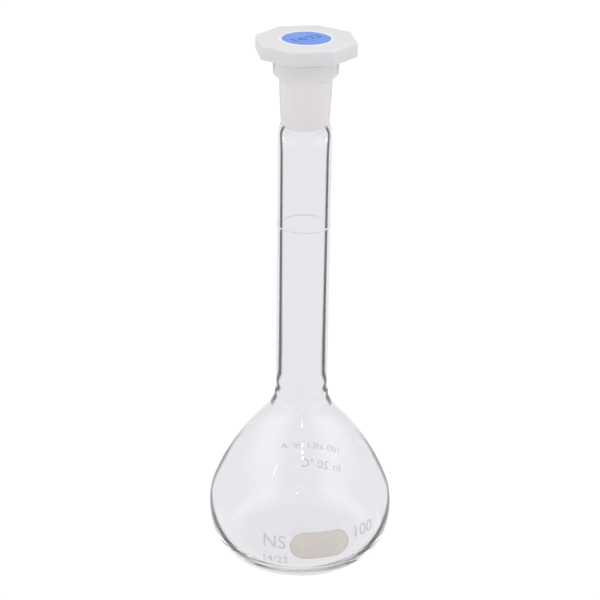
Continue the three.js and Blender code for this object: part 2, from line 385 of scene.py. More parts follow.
def bulb_side(sizes, depth, neck_depth, ripple):
    """The side from belly to neck, the given depths inside the outer surface."""
    belly_centre = (BELLY_RADIUS - sizes.belly_arc, sizes.belly_height)
    gap = sizes.shoulder_arc - sizes.belly_arc
    shoulder_centre = (
        belly_centre[0] - gap * math.cos(sizes.belly_end),
        belly_centre[1] - gap * math.sin(sizes.belly_end),
    )
    end_radius = shoulder_centre[0] + sizes.shoulder_arc * math.cos(sizes.shoulder_end)
    end_height = shoulder_centre[1] + sizes.shoulder_arc * math.sin(sizes.shoulder_end)
    weld = (end_radius - NECK_RADIUS) / (1 - math.cos(sizes.shoulder_end))
    weld_centre = (NECK_RADIUS + weld, end_height + weld * math.sin(sizes.shoulder_end))
    points = [
        *arc(belly_centre, sizes.belly_arc - depth, 0, sizes.belly_end),
        *arc(shoulder_centre, sizes.shoulder_arc - depth, sizes.belly_end, sizes.shoulder_end)[1:],
        *arc(weld_centre, -weld - depth, sizes.shoulder_end, 0, depth - neck_depth)[1:],
    ]
    top = points[-1]
    points += straight(top, (top[0], top[1] + 2 * sizes.weld_spread), CURVE_STEP)[1:]
    return [(r + weld_ripple(sizes, z, ripple), z) for r, z in points]


def bore(socket, height):
    """Radius of the tapered bore at a height."""
    return socket.radius - (MOUTH_HEIGHT - height) * socket.taper


def glass_outside(sizes, socket):
    """The outer surface of the flask, from under the base to the top of the rim."""
    waist = (bore(socket, socket.shoulder_high) + socket.wall, socket.shoulder_high)
    rim_low = MOUTH_HEIGHT - socket.rim_height
    slope_low = rim_low - socket.rim_slope
    waist_top = (bore(socket, slope_low) + socket.wall, slope_low)
    side = bulb_side(sizes, 0, 0, sizes.weld_outside)
    rounding = socket.rim_rounding
    inset = socket.rim_radius - rounding
    return [
        *punt(sizes, 0),
        *bowl(sizes, 0, 0),
        *side[1:],
        *straight(side[-1], (NECK_RADIUS, socket.shoulder_low), STRAIGHT_STEP)[1:],
        *blend((NECK_RADIUS, socket.shoulder_low), waist)[1:],
        *straight(waist, waist_top, STRAIGHT_STEP)[1:],
        *blend(waist_top, (socket.rim_radius, rim_low + rounding / 2))[1:],
        *arc((inset, MOUTH_HEIGHT - rounding), rounding, 0, RIGHT_ANGLE),
    ]


def glass_inside(sizes, socket):
    """The inner surface of the flask, from the floor to the mouth."""
    low = MOUTH_HEIGHT - socket.depth
    high = MOUTH_HEIGHT - socket.mouth_rounding
    neck = NECK_RADIUS - sizes.neck_wall
    side = bulb_side(sizes, sizes.bulb_wall, sizes.neck_wall, sizes.weld_inside)
    flare = blend((neck, low - socket.flare), (bore(socket, low), low))
    lip = socket.mouth_rounding
    return [
        *punt(sizes, sizes.floor),
        *bowl(sizes, sizes.bulb_wall, sizes.floor),
        *side[1:],
        *straight(side[-1], flare[0], STRAIGHT_STEP)[1:],
        *flare[1:],
        *straight(flare[-1], (bore(socket, high), high), STRAIGHT_STEP)[1:],
        *reversed(arc((bore(socket, high) + lip, high), lip, RIGHT_ANGLE, math.pi)[:-1]),
    ]


def raised(outline, distance):
    """An outline moved outwards by a distance."""
    moved = []
    for i, (radius, height) in enumerate(outline):
        before = Vector(outline[max(i - 1, 0)])
        after = Vector(outline[min(i + 1, len(outline) - 1)])
        along = (after - before).normalized()
        moved.append((radius + along.y * distance, height - along.x * distance))
    return moved


def painted_shade_line(height):
    """The cosine, reach and darkness of the painted dark line at a height."""
    level = height / MM
    if level <= PAINTED_SHADE_LINES[0][0]:
        return PAINTED_SHADE_LINES[0][1:]
    for low, high in zip(PAINTED_SHADE_LINES, PAINTED_SHADE_LINES[1:]):
        if level <= high[0]:
            share = (level - low[0]) / (high[0] - low[0])
            return [a + (b - a) * share for a, b in zip(low[1:], high[1:])]
    return PAINTED_SHADE_LINES[-1][1:]


# Modelling steps


def deselect():
    """Clears the selection, so that the next operator acts only on the new piece."""
    bpy.ops.object.select_all(action="DESELECT")


def select(*pieces):
    """Selects just these pieces, with the first one active."""
    deselect()
    for each in pieces:
        each.select_set(True)
    bpy.context.view_layer.objects.active = pieces[0]


def name_new(name):
    """Names the piece that an operator has just added, and returns it."""
    piece = bpy.context.object
    piece.name = name
    piece.data.name = name
    return piece


def turned(name, outline):
    """A solid turned round the Z axis, from an outline that closes on itself or on the axis."""
    deselect()
    bpy.ops.mesh.primitive_plane_add(size=MM)
    piece = name_new(name)
    bpy.ops.object.mode_set(mode="EDIT")
    bpy.ops.mesh.select_all(action="SELECT")
    bpy.ops.mesh.merge(type="CENTER")
    bpy.ops.transform.translate(value=(outline[0][0], 0, outline[0][1]))
    for before, after in zip(outline, outline[1:]):
        step = (after[0] - before[0], 0, after[1] - before[1])
        bpy.ops.mesh.extrude_region_move(TRANSFORM_OT_translate={"value": step})
    bpy.ops.mesh.select_all(action="SELECT")
    bpy.ops.mesh.spin(steps=FACETS, angle=math.tau, center=(0, 0, 0), axis=(0, 0, 1))
    bpy.ops.mesh.select_all(action="SELECT")
    bpy.ops.mesh.remove_doubles(threshold=MERGE)
    bpy.ops.mesh.normals_make_consistent(inside=False)
    bpy.ops.object.mode_set(mode="OBJECT")
    bpy.ops.object.shade_smooth()
    return piece


def apply_modifier(piece, kind, **settings):
    """Adds a modifier with these settings and applies it."""
    select(piece)
    modifier = piece.modifiers.new(kind.title(), kind)
    for key, value in settings.items():
        setattr(modifier, key, value)
    bpy.ops.object.modifier_apply(modifier=modifier.name)


def hand_over(piece, material, body, slot, *nodes):
    """Gives a finished piece its finish, and puts it in the frame in place of its CAD nodes."""
    piece.data.materials.clear()
    piece.data.materials.append(material)
    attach(piece, body)
    if nodes:
        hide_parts(*nodes)


def cut(piece, tool, operation):
    """Joins, cuts or trims a piece with a tool, which is used up."""
    apply_modifier(piece, "BOOLEAN", operation=operation, object=tool, solver="EXACT")
    bpy.data.objects.remove(tool)


def lettering(words, height, depth):
    """Solid words that lie flat, centred, half their depth above and below."""
    deselect()
    bpy.ops.object.text_add()
    text = bpy.context.object.data
    text.body = words
    text.size = height / CAPITAL_HEIGHT
    text.align_x = "CENTER"
    text.align_y = "CENTER"
    text.extrude = depth / 2
    text.resolution_u = LETTER_STEPS
    bpy.ops.object.convert(target="MESH")
    piece = name_new("words")
    bpy.ops.object.mode_set(mode="EDIT")
    bpy.ops.mesh.select_all(action="SELECT")
    bpy.ops.mesh.remove_doubles(threshold=MERGE)
    bpy.ops.mesh.normals_make_consistent(inside=False)
    bpy.ops.object.mode_set(mode="OBJECT")
    return piece


def settle(piece, place):
    """Puts a flat-lying mesh in its place, which goes into the mesh."""
    select(piece)
    piece.matrix_world = place
    bpy.ops.object.transform_apply()


def facing(direction, radius, height):
    """The place of something upright that faces outwards in a direction."""
    turn = Matrix.Rotation(direction + RIGHT_ANGLE, 4, "Z")
    return turn @ Matrix.Translation((0, -radius, height)) @ Matrix.Rotation(RIGHT_ANGLE, 4, "X")


def enamel(name, sizes, prism, low, high):
    """A thin coat on the bulb between two heights, trimmed to what lies inside a prism."""
    outline = [*bowl(sizes, 0, 0), *bulb_side(sizes, 0, 0, 0)[1:]]
    surface = [point for point in outline if low < point[1] < high]
    back = raised(surface, ENAMEL_GAP)
    front = raised(surface, ENAMEL_GAP + ENAMEL_THICKNESS)
    piece = turned(name, [*front, *reversed(back), front[0]])
    cut(piece, prism, "INTERSECT")
    select(piece)
    bpy.ops.object.shade_smooth_by_angle(angle=CREASE)
    return piece


# Finishes


def add(tree, kind, *inputs, **settings):
    """Adds a node, makes its settings, and links or sets its inputs in their order."""
    node = tree.nodes.new("ShaderNode" + kind)
    for key, value in settings.items():
        setattr(node, key, value)
    for socket, value in zip(node.inputs, inputs):
        if isinstance(value, bpy.types.NodeSocket):
            tree.links.new(value, socket)
        elif value is not None:
            socket.default_value = value
    return node


def maths(tree, operation, *inputs):
    """The result of a Math node."""
    return add(tree, "Math", *inputs, operation=operation).outputs[0]


def between(tree, value, low, high, start=0.0, end=1.0):
    """A smooth change from start to end as a value goes from low to high."""
    node = add(tree, "MapRange", value, low, high, start, end, interpolation_type="SMOOTHSTEP")
    return node.outputs[0]


def mixed(tree, share, first, second):
    """A mix of two colours."""
    node = add(tree, "Mix", share, data_type="RGBA")
    for socket, value in zip((node.inputs[6], node.inputs[7]), (first, second)):
        if isinstance(value, bpy.types.NodeSocket):
            tree.links.new(value, socket)
        else:
            socket.default_value = (*value, 1)
    return node.outputs[2]


def noise(tree, vector, size, detail=2.0):
    """Noise whose spots have about this size."""
    return add(tree, "TexNoise", vector, None, 1 / size, detail).outputs["Fac"]


def surface_group():
    """A node group for moulded and fired surfaces: mottled colour, uneven gloss and fine grain."""
    if SURFACE_GROUP in bpy.data.node_groups:
        return bpy.data.node_groups[SURFACE_GROUP]
    group = bpy.data.node_groups.new(SURFACE_GROUP, "ShaderNodeTree")
    socket = group.interface.new_socket
    socket("Place", in_out="INPUT", socket_type="NodeSocketVector")
    socket("Colour", in_out="INPUT", socket_type="NodeSocketColor")
    socket("Mottled Colour", in_out="INPUT", socket_type="NodeSocketColor")
    for name in ("Mottle Scale", "Grain Scale", "Smoothest", "Roughest"):
        socket(name, in_out="INPUT", socket_type="NodeSocketFloat")
    socket("Colour", in_out="OUTPUT", socket_type="NodeSocketColor")
    socket("Roughness", in_out="OUTPUT", socket_type="NodeSocketFloat")
    socket("Height", in_out="OUTPUT", socket_type="NodeSocketFloat")
    given = group.nodes.new("NodeGroupInput")
    result = group.nodes.new("NodeGroupOutput")
    place = given.outputs["Place"]
    cloud = add(group, "TexNoise", place, None, given.outputs["Mottle Scale"], 3.0).outputs["Fac"]
    grain = add(group, "TexNoise", place, None, given.outputs["Grain Scale"], 4.0).outputs["Fac"]
    mottle = between(group, cloud, *MOTTLE_RANGE)
    shade = mixed(group, mottle, given.outputs["Colour"], given.outputs["Mottled Colour"])
    uneven = maths(group, "MULTIPLY_ADD", grain, 0.5, maths(group, "MULTIPLY", cloud, 0.5))
    ends = (given.outputs["Smoothest"], given.outputs["Roughest"])
    gloss = add(group, "MapRange", uneven, *GLOSS_RANGE, *ends)
    group.links.new(shade, result.inputs["Colour"])
    group.links.new(gloss.outputs[0], result.inputs["Roughness"])
    group.links.new(grain, result.inputs["Height"])
    return group


def new_material(name):
    """A material with nothing but a Principled shader, and that shader."""
    material = bpy.data.materials.new(name)
    material.use_nodes = True
    return material, material.node_tree.nodes["Principled BSDF"]


def surfaced(name, plain, mottled, mottle_size, grain_size, gloss, grain_depth):
    """A material with the mottled surface, and its shader. gloss is (smoothest, roughest)."""
    material, shader = new_material(name)
    tree = material.node_tree
    place = add(tree, "TexCoord").outputs["Object"]
    group = tree.nodes.new("ShaderNodeGroup")
    group.node_tree = surface_group()
    tree.links.new(place, group.inputs["Place"])
    group.inputs["Colour"].default_value = (*plain, 1)
    group.inputs["Mottled Colour"].default_value = (*mottled, 1)
    group.inputs["Mottle Scale"].default_value = 1 / mottle_size
    group.inputs["Grain Scale"].default_value = 1 / grain_size
    group.inputs["Smoothest"].default_value = gloss[0]
    group.inputs["Roughest"].default_value = gloss[1]
    bump = add(tree, "Bump", 1.0, grain_depth)
    tree.links.new(group.outputs["Height"], bump.inputs["Height"])
    tree.links.new(group.outputs["Colour"], shader.inputs["Base Color"])
    tree.links.new(group.outputs["Roughness"], shader.inputs["Roughness"])
    tree.links.new(bump.outputs["Normal"], shader.inputs["Normal"])
    return material, shader


def tinted(value, factor):
    """A colour made lighter or darker, or warmer with three factors."""
    factors = factor if isinstance(factor, tuple) else (factor,) * 3
    return tuple(channel * each for channel, each in zip(value, factors))


def clear_glass(finishes, sizes, socket):
    """Clear glass with painted shade, a dark line where its wall is seen along, ground dull inside
    the socket.

    Light on its way to the pieces behind the glass passes it unbent, so that they are lit evenly.
    """
    material, shader = new_material("clear_glass")
    tree = material.node_tree
    place = add(tree, "TexCoord").outputs["Object"]
    # Painted shade: a dark line is mixed into the base colour where the outer wall is seen along
    sight = maths(tree, "SUBTRACT", 1.0, add(tree, "LayerWeight", 0.5).outputs["Facing"])
    along, reach, strength = [
        add(tree, "Attribute", attribute_name=name).outputs["Fac"] for name in PAINTED_SHADE_NAMES
    ]
    off = maths(tree, "ABSOLUTE", maths(tree, "SUBTRACT", sight, along))
    painted_band = between(tree, maths(tree, "DIVIDE", off, reach), BAND_CORE, 1.0, 1.0, 0.0)
    front = maths(tree, "SUBTRACT", 1.0, add(tree, "NewGeometry").outputs["Backfacing"])
    dark = maths(tree, "MULTIPLY", maths(tree, "MULTIPLY", painted_band, strength), front)
    flat = add(tree, "VectorMath", place, (1, 1, 0), operation="MULTIPLY").outputs[0]
    radius = add(tree, "VectorMath", flat, operation="LENGTH").outputs["Value"]
    height = add(tree, "SeparateXYZ", place).outputs["Z"]
    floor_edge = sizes.foot_radius - sizes.bulb_wall
    within = between(tree, radius, floor_edge, floor_edge + FLOOR_FADE, 1.0, 0.0)
    over = maths(tree, "GREATER_THAN", height, sizes.floor / 2)
    low = maths(tree, "LESS_THAN", height, sizes.floor + sizes.punt_depth + FLOOR_MARGIN)
    thick = maths(tree, "MULTIPLY", maths(tree, "MULTIPLY", within, over), low)
    clear = mixed(tree, thick, finishes.glass, finishes.glass_floor)
    tree.links.new(mixed(tree, dark, clear, finishes.glass_edge_painted_shade), shader.inputs["Base Color"])
    in_bore = maths(tree, "LESS_THAN", radius, socket.radius + socket.wall / 4)
    above = maths(tree, "GREATER_THAN", height, MOUTH_HEIGHT - socket.depth)
    below = maths(tree, "LESS_THAN", height, MOUTH_HEIGHT - socket.mouth_rounding)
    ground = maths(tree, "MULTIPLY", maths(tree, "MULTIPLY", in_bore, above), below)
    grain = noise(tree, place, GRIT_SIZE)
    grit = maths(tree, "MULTIPLY_ADD", grain, GRIT_ROUGHNESS, GROUND_ROUGHNESS)
    tree.links.new(maths(tree, "MULTIPLY", ground, grit), shader.inputs["Roughness"])
    waves = add(tree, "Bump", WAVE_STRENGTH, WAVE_DEPTH)
    tree.links.new(noise(tree, place, WAVE_SIZE, 0.0), waves.inputs["Height"])
    tree.links.new(waves.outputs["Normal"], shader.inputs["Normal"])
    shader.inputs["IOR"].default_value = GLASS_IOR
    shader.inputs["Transmission Weight"].default_value = 1
    tinge = add(tree, "VolumeAbsorption", (*finishes.glass_depth, 1), GLASS_DENSITY)
    output = tree.nodes["Material Output"]
    tree.links.new(tinge.outputs[0], output.inputs["Volume"])
    path = add(tree, "LightPath")
    unbent = add(tree, "BsdfTransparent", (*finishes.glass, 1)).outputs[0]
    seen = shader.outputs[0]
    for ray in ("Is Diffuse Ray", "Is Shadow Ray"):
        seen = add(tree, "MixShader", path.outputs[ray], seen, unbent).outputs[0]
    tree.links.new(seen, output.inputs["Surface"])
    return material


def milky_plastic(finishes, sizes):
    """Milky plastic, painted lighter down the hollow plug for light through its thin wall and
    warmer towards its end, with a painted pale highlight round the disc.
    """
    material, shader = surfaced(
        "milky_plastic",
        plain=finishes.plastic,
        mottled=finishes.plastic,
        mottle_size=4 * MM,
        grain_size=0.25 * MM,
        gloss=(0.28, 0.42),
        grain_depth=0.006 * MM,
    )
    tree = material.node_tree
    place = tree.nodes["Texture Coordinate"].outputs["Object"]
    height = add(tree, "SeparateXYZ", place).outputs["Z"]
    head_low = STOPPER_HIGH.z - sizes.head_height
    # Painted light: lighter colour down the plug, for light through its thin wall
    down = between(tree, height, head_low - HEAD_FADE, head_low, 1.0, 0.0)
    body = mixed(tree, down, finishes.plastic, finishes.plug)
    warmth = between(tree, height, STOPPER_LOW.z, head_low, 1.0, 0.0)
    body = mixed(tree, warmth, body, tinted(finishes.plug, PLUG_WARMTH))
    flat = add(tree, "VectorMath", place, (1, 1, 0), operation="MULTIPLY").outputs[0]
    radius = add(tree, "VectorMath", flat, operation="LENGTH").outputs["Value"]
    bead = DISC_HIGH.x + sizes.disc_gap + sizes.bead
    off = maths(tree, "ABSOLUTE", maths(tree, "SUBTRACT", radius, bead))
    glow = [sizes.bead * share for share in BEAD_PAINTED_GLOW]
    # Painted highlight: the pale glow painted round the bead on the head's top
    painted_glow = between(tree, off, *glow, 1.0, 0.0)
    on_top = maths(tree, "GREATER_THAN", height, STOPPER_HIGH.z - sizes.head_bevel / 2)
    shade = mixed(tree, maths(tree, "MULTIPLY", painted_glow, on_top), body, finishes.disc_rim_painted_glow)
    group = tree.nodes["Group"]
    for name in ("Colour", "Mottled Colour"):
        tree.links.new(shade, group.inputs[name])
    shader.inputs["Subsurface Weight"].default_value = MILKINESS
    shader.inputs["Subsurface Radius"].default_value = MILK_SPREAD
    shader.inputs["Subsurface Scale"].default_value = MILK_DEPTH
    shader.inputs["IOR"].default_value = PLASTIC_IOR
    return material


def blue_plastic(finishes):
    """Coloured moulded plastic."""
    material, shader = surfaced(
        "blue_plastic",
        plain=finishes.disc,
        mottled=tinted(finishes.disc, (0.9, 0.94, 0.98)),
        mottle_size=2.5 * MM,
        grain_size=0.2 * MM,
        gloss=(0.3, 0.45),
        grain_depth=0.006 * MM,
    )
    shader.inputs["IOR"].default_value = PLASTIC_IOR
    return material


def line_enamel(finishes):
    """Thin light enamel of the words and, paler still, of the ring on the neck."""
    material, shader = surfaced(
        "line_enamel",
        plain=finishes.line,
        mottled=tinted(finishes.line, LINE_MOTTLE),
        mottle_size=0.6 * MM,
        grain_size=0.06 * MM,
        gloss=(0.55, 0.75),
        grain_depth=0.01 * MM,
    )
    tree = material.node_tree
    place = tree.nodes["Texture Coordinate"].outputs["Object"]
    height = add(tree, "SeparateXYZ", place).outputs["Z"]
    on_ring = maths(tree, "GREATER_THAN", height, RING_LOW.z / 2)  # all words are below this
    group = tree.nodes["Group"]
    for name, factor in (("Colour", 1), ("Mottled Colour", LINE_MOTTLE)):
        words, ring = [tinted(value, factor) for value in (finishes.line, finishes.ring)]
        tree.links.new(mixed(tree, on_ring, words, ring), group.inputs[name])
    shader.inputs["Alpha"].default_value = ENAMEL_ALPHA
    return material


def panel_enamel(finishes, sizes):
    """Matt enamel for pencil notes, thinner and cooler round its edge."""
    material, shader = surfaced(
        "panel_enamel",
        plain=finishes.panel,
        mottled=tinted(finishes.panel, 0.98),
        mottle_size=2.2 * MM,
        grain_size=0.12 * MM,
        gloss=(0.7, 0.9),
        grain_depth=0.02 * MM,
    )
    tree = material.node_tree
    group = tree.nodes["Group"]
    place = tree.nodes["Texture Coordinate"].outputs["Object"]
    middle = (0, 0, sizes.panel_level)
    level = add(tree, "VectorMath", place, middle, operation="SUBTRACT").outputs[0]
    turn = (0, 0, -(sizes.panel_direction + RIGHT_ANGLE))
    own = add(tree, "SeparateXYZ", add(tree, "Mapping", level, None, turn).outputs[0])
    end = sizes.panel_height / 2
    side = sizes.panel_width / 2
    flank = maths(tree, "ABSOLUTE", own.outputs["X"])
    past = maths(tree, "MAXIMUM", maths(tree, "SUBTRACT", flank, side - end), 0.0)
    offset = add(tree, "CombineXYZ", past, own.outputs["Z"], 0.0).outputs[0]
    out = add(tree, "VectorMath", offset, operation="LENGTH").outputs["Value"]
    edge = between(tree, out, end - sizes.panel_rim, end - sizes.panel_rim / 3)
    shade = mixed(tree, between(tree, flank, 0.0, side), finishes.panel, finishes.panel_end)
    tree.links.new(mixed(tree, edge, shade, finishes.panel_rim), group.inputs["Colour"])
    shader.inputs["Specular IOR Level"].default_value = PANEL_GLOSS
    return material


# Pieces


class FLASK_OT_glass(Operator):
    """Blow the glass: base, bulb, neck, socket and rim in one piece"""

    bl_idname = "flask.glass"
    bl_label = "Glass"

    def execute(self, context):
        scene = context.scene
        sizes = scene.flask_sizes
        socket = scene.flask_socket
        outside = glass_outside(sizes, socket)
        inside = glass_inside(sizes, socket)
        piece = turned("flask_glass", [*outside, *reversed(inside)])
        outlines = KDTree(len(outside) + len(inside))
        for i, (radius, height) in enumerate([*outside, *inside]):
            outlines.insert((radius, 0, height), i)
        outlines.balance()
        places = [(math.hypot(v.co.x, v.co.y), v.co.z) for v in piece.data.vertices]
        outer = [outlines.find((r, 0, z))[1] < len(outside) for r, z in places]
        # Painted shade: how dark a line is painted on each point of the outer surface
        along, reach, dark = zip(*[painted_shade_line(z) for r, z in places])
        dark = [darkness * is_outer for darkness, is_outer in zip(dark, outer)]
        for name, values in zip(PAINTED_SHADE_NAMES, (along, reach, dark)):
            attribute = piece.data.attributes.new(name, "FLOAT", "POINT")
            attribute.data.foreach_set("value", values)
        top = socket.shoulder_low - socket.flare
        free = [i for i, (r, z) in enumerate(places) if not outer[i] and z < top]
        blown = piece.vertex_groups.new(name="blown")
        blown.add(free, 1, "REPLACE")
        waves = bpy.data.textures.new("blown_waves", "CLOUDS")
        waves.noise_scale = sizes.unevenness_scale
        waves.noise_depth = 0
        apply_modifier(
            piece, "DISPLACE", texture=waves, vertex_group=blown.name, strength=2 * sizes.unevenness
        )
        bpy.data.textures.remove(waves)
        material = clear_glass(scene.flask_finishes, sizes, socket)
        hand_over(piece, material, "vessel", "glass", "flask")
        return {"FINISHED"}


class FLASK_OT_ring(Operator):
    """Fire the calibration ring on the neck"""

    bl_idname = "flask.ring"
    bl_label = "Calibration Ring"

    def execute(self, context):
        back = NECK_RADIUS + ENAMEL_GAP
        front = back + ENAMEL_THICKNESS
        rounding = ENAMEL_THICKNESS / 2
        low, high = RING_LOW.z, RING_HIGH.z
        outline = [
            (back, low),
            *arc((front - rounding, low + rounding), rounding, -RIGHT_ANGLE, 0),
            *arc((front - rounding, high - rounding), rounding, 0, RIGHT_ANGLE),
            (back, high),
            (back, low),
        ]
        piece = turned("enamel_ring", outline)
        bpy.ops.object.shade_smooth_by_angle(angle=CREASE)
        material = line_enamel(context.scene.flask_finishes)
        hand_over(piece, material, "vessel", "line_enamel", "calibration_ring")
        return {"FINISHED"}


class FLASK_OT_panel(Operator):
    """Fire the matt writing panel on the bulb"""

    bl_idname = "flask.panel"
    bl_label = "Writing Panel"

    def execute(self, context):
        scene = context.scene
        sizes = scene.flask_enamel
        end = sizes.panel_height / 2
        deselect()
        bpy.ops.mesh.primitive_circle_add(vertices=PANEL_END_STEPS, radius=end, fill_type="NGON")
        prism = name_new("prism")
        bpy.ops.object.mode_set(mode="EDIT")
        bpy.ops.mesh.select_all(action="SELECT")
        bpy.ops.mesh.bisect(plane_co=(0, 0, 0), plane_no=(1, 0, 0))
        bpy.ops.object.mode_set(mode="OBJECT")
        stretch = sizes.panel_width / 2 - end
        for vertex in prism.data.vertices:
            vertex.select = vertex.co.x > MERGE
        bpy.ops.object.mode_set(mode="EDIT")
        bpy.ops.transform.translate(value=(stretch, 0, 0))
        bpy.ops.mesh.select_all(action="INVERT")
        bpy.ops.transform.translate(value=(-stretch, 0, 0))
        bpy.ops.mesh.select_all(action="SELECT")
        bpy.ops.mesh.extrude_region_move(TRANSFORM_OT_translate={"value": (0, 0, BELLY_RADIUS)})
        bpy.ops.mesh.select_all(action="SELECT")
        bpy.ops.mesh.normals_make_consistent(inside=False)
        bpy.ops.object.mode_set(mode="OBJECT")
        settle(prism, facing(sizes.panel_direction, BELLY_RADIUS / 2, sizes.panel_level))
        reach = end + TRIM_MARGIN
        low, high = sizes.panel_level - reach, sizes.panel_level + reach
        piece = enamel("panel_enamel", scene.flask_sizes, prism, low, high)
        material = panel_enamel(scene.flask_finishes, sizes)
        hand_over(piece, material, "vessel", "panel_enamel", "writing_panel")
        return {"FINISHED"}


class FLASK_OT_words(Operator):
    """Print the measuring words on the bulb"""

    bl_idname = "flask.words"
    bl_label = "Words"

    def execute(self, context):
        scene = context.scene
        sizes = scene.flask_enamel
        material = line_enamel(scene.flask_finishes)
        # name, words, height of a capital in mm, direction in degrees, level in mm
        lines = (
            ("volume_words", sizes.volume, 2.6, 82, 20.5),
            ("temperature_words", sizes.warmth, 3.1, 75, 13),
            ("joint_words", sizes.joint, 4.6, -105.5, 16.6),
            ("joint_size_words", sizes.joint_size, 2.8, -105.5, 9.8),
            ("front_words", sizes.front, 4.2, -47.3, 17.7),
        )
        for name, words, height, direction, level in lines:
            prism = lettering(words, height * MM, BELLY_RADIUS)
            settle(prism, facing(math.radians(direction), BELLY_RADIUS, level * MM))
            reach = height * MM
            low, high = level * MM - reach, level * MM + reach
            piece = enamel(name, scene.flask_sizes, prism, low, high)
            hand_over(piece, material, "vessel", "line_enamel")
        return {"FINISHED"}


class FLASK_OT_stopper(Operator):
    """Mould the stopper: its eight-sided head and its hollow tapered plug"""

    bl_idname = "flask.stopper"
    bl_label = "Stopper"

    def execute(self, context):
        scene = context.scene
        sizes = scene.flask_stopper
        socket = scene.flask_socket
        top = STOPPER_HIGH.z + sizes.head_rise
        bottom = STOPPER_LOW.z
        under = top - sizes.head_height
        seat = top - sizes.disc_thickness - sizes.disc_gap
        seat_radius = DISC_HIGH.x + sizes.disc_gap
        deselect()
        bpy.ops.mesh.primitive_cylinder_add(
            vertices=8,
            radius=sizes.corner_radius,
            depth=sizes.head_height,
            location=(0, 0, (top + under) / 2),
            rotation=(0, 0, sizes.head_turn),
        )
        piece = name_new("milky_stopper")
        bpy.ops.object.transform_apply()
        bpy.ops.object.mode_set(mode="EDIT")
        bpy.ops.mesh.select_all(action="SELECT")
        bpy.ops.mesh.bevel(offset=sizes.head_bevel, segments=BEVEL_STEPS)
        bpy.ops.object.mode_set(mode="OBJECT")

        def plug_radius(height):
            return bore(socket, height) + sizes.seat_depth

        rounding = sizes.plug_rounding
        edge = bottom + rounding
        inside_head = (under + seat) / 2
        plug_outline = [
            (0, bottom),
            *arc((plug_radius(edge) - rounding, edge), rounding, -RIGHT_ANGLE, 0),
            (plug_radius(under), under),
            (plug_radius(under), inside_head),
            (0, inside_head),
        ]
        cut(piece, turned("plug", plug_outline), "UNION")
        ledge = plug_radius(under) - sizes.wall
        floor = bottom + sizes.wall
        hollow_outline = [
            (0, floor),
            (plug_radius(bottom) - sizes.wall, floor),
            (ledge, seat),
            (seat_radius, seat),
            (seat_radius, top + TRIM_MARGIN),
            (0, top + TRIM_MARGIN),
        ]
        cut(piece, turned("hollow", hollow_outline), "DIFFERENCE")
        centre = (seat_radius + sizes.bead, top + sizes.bead_rise - sizes.bead)
        cut(piece, turned("bead", arc(centre, sizes.bead, 0, math.tau)), "UNION")
        select(piece)
        bpy.ops.object.shade_smooth_by_angle(angle=CREASE)
        material = milky_plastic(scene.flask_finishes, sizes)
        hand_over(piece, material, "closure", "milky_plastic", "stopper")
        return {"FINISHED"}


class FLASK_OT_disc(Operator):
    """Mould the coloured disc with its gripping ring and sunk figures"""

    bl_idname = "flask.disc"
    bl_label = "Disc"

    def execute(self, context):
        scene = context.scene
        sizes = scene.flask_stopper
        socket = scene.flask_socket
        top = DISC_HIGH.z + sizes.head_rise
        under = top - sizes.disc_thickness
        ring_low = DISC_LOW.z
        head_low = STOPPER_HIGH.z + sizes.head_rise - sizes.head_height
        outer = bore(socket, head_low) + sizes.seat_depth - sizes.wall - 3 * sizes.disc_gap
        inner = outer - sizes.disc_ring_wall
        edge = sizes.disc_edge
        radius = DISC_HIGH.x
        outline = [
            (0, under),
            (inner, under),
            (inner, ring_low),
            *arc((outer - edge, ring_low + edge), edge, -RIGHT_ANGLE, 0),
            (outer, under),
            (radius, under),
            *arc((radius - edge, top - edge), edge, 0, RIGHT_ANGLE),
            (0, top),
        ]
        piece = turned("blue_disc", outline)
        figures = lettering(scene.flask_enamel.joint_size, sizes.mark_height, 2 * sizes.mark_depth)
        settle(figures, Matrix.Translation((0, 0, top)) @ Matrix.Rotation(sizes.mark_turn, 4, "Z"))
        cut(piece, figures, "DIFFERENCE")
        select(piece)
        bpy.ops.object.shade_smooth_by_angle(angle=CREASE)
        material = blue_plastic(scene.flask_finishes)
        hand_over(piece, material, "closure", "blue_plastic", "stopper_disc")
        return {"FINISHED"}


# Stage


def floor_material(stage):
    """A pale floor: white to the camera with a soft shadow, even light to every other ray."""
    material = bpy.data.materials.new("floor")
    material.use_nodes = True
    tree = material.node_tree
    tree.nodes.remove(tree.nodes["Principled BSDF"])
    lit = add(tree, "Emission", (*stage.floor_light, 1), 1.0).outputs[0]
    white = add(tree, "Emission", (1, 1, 1, 1), FLOOR_BRIGHTNESS).outputs[0]
    shaded = add(tree, "BsdfDiffuse", (1, 1, 1, 1)).outputs[0]
    seen = add(tree, "MixShader", stage.shadow, white, shaded).outputs[0]
    camera = add(tree, "LightPath").outputs["Is Camera Ray"]
    shown = add(tree, "MixShader", camera, lit, seen).outputs[0]
    tree.links.new(shown, tree.nodes["Material Output"].inputs["Surface"])
    return material


def studio_world(stage):
    """White to the camera; to every other ray an even sky with a wide soft lamp on either side."""
    world = bpy.data.worlds.new("studio")
    world.use_nodes = True
    tree = world.node_tree
    direction = add(tree, "SeparateXYZ", add(tree, "TexCoord").outputs["Generated"])
    upward = direction.outputs["Z"]
    sideways = maths(tree, "ABSOLUTE", direction.outputs["X"])
    rise = between(tree, upward, *SIDE_LAMP_RISE)
    turn = between(tree, sideways, *SIDE_LAMP_TURN)
    lifted = maths(tree, "MULTIPLY", rise, turn)
    lamps = add(tree, "VectorMath", stage.side_light, operation="SCALE")
    tree.links.new(lifted, lamps.inputs["Scale"])
    sky = add(tree, "VectorMath", stage.sky, lamps.outputs[0], operation="ADD").outputs[0]
    low = maths(tree, "LESS_THAN", upward, 0.0)
    around = mixed(tree, low, sky, stage.floor_light)
    camera = add(tree, "LightPath").outputs["Is Camera Ray"]
    shown = mixed(tree, camera, around, (1, 1, 1))
    tree.links.new(shown, tree.nodes["Background"].inputs["Color"])
    return world


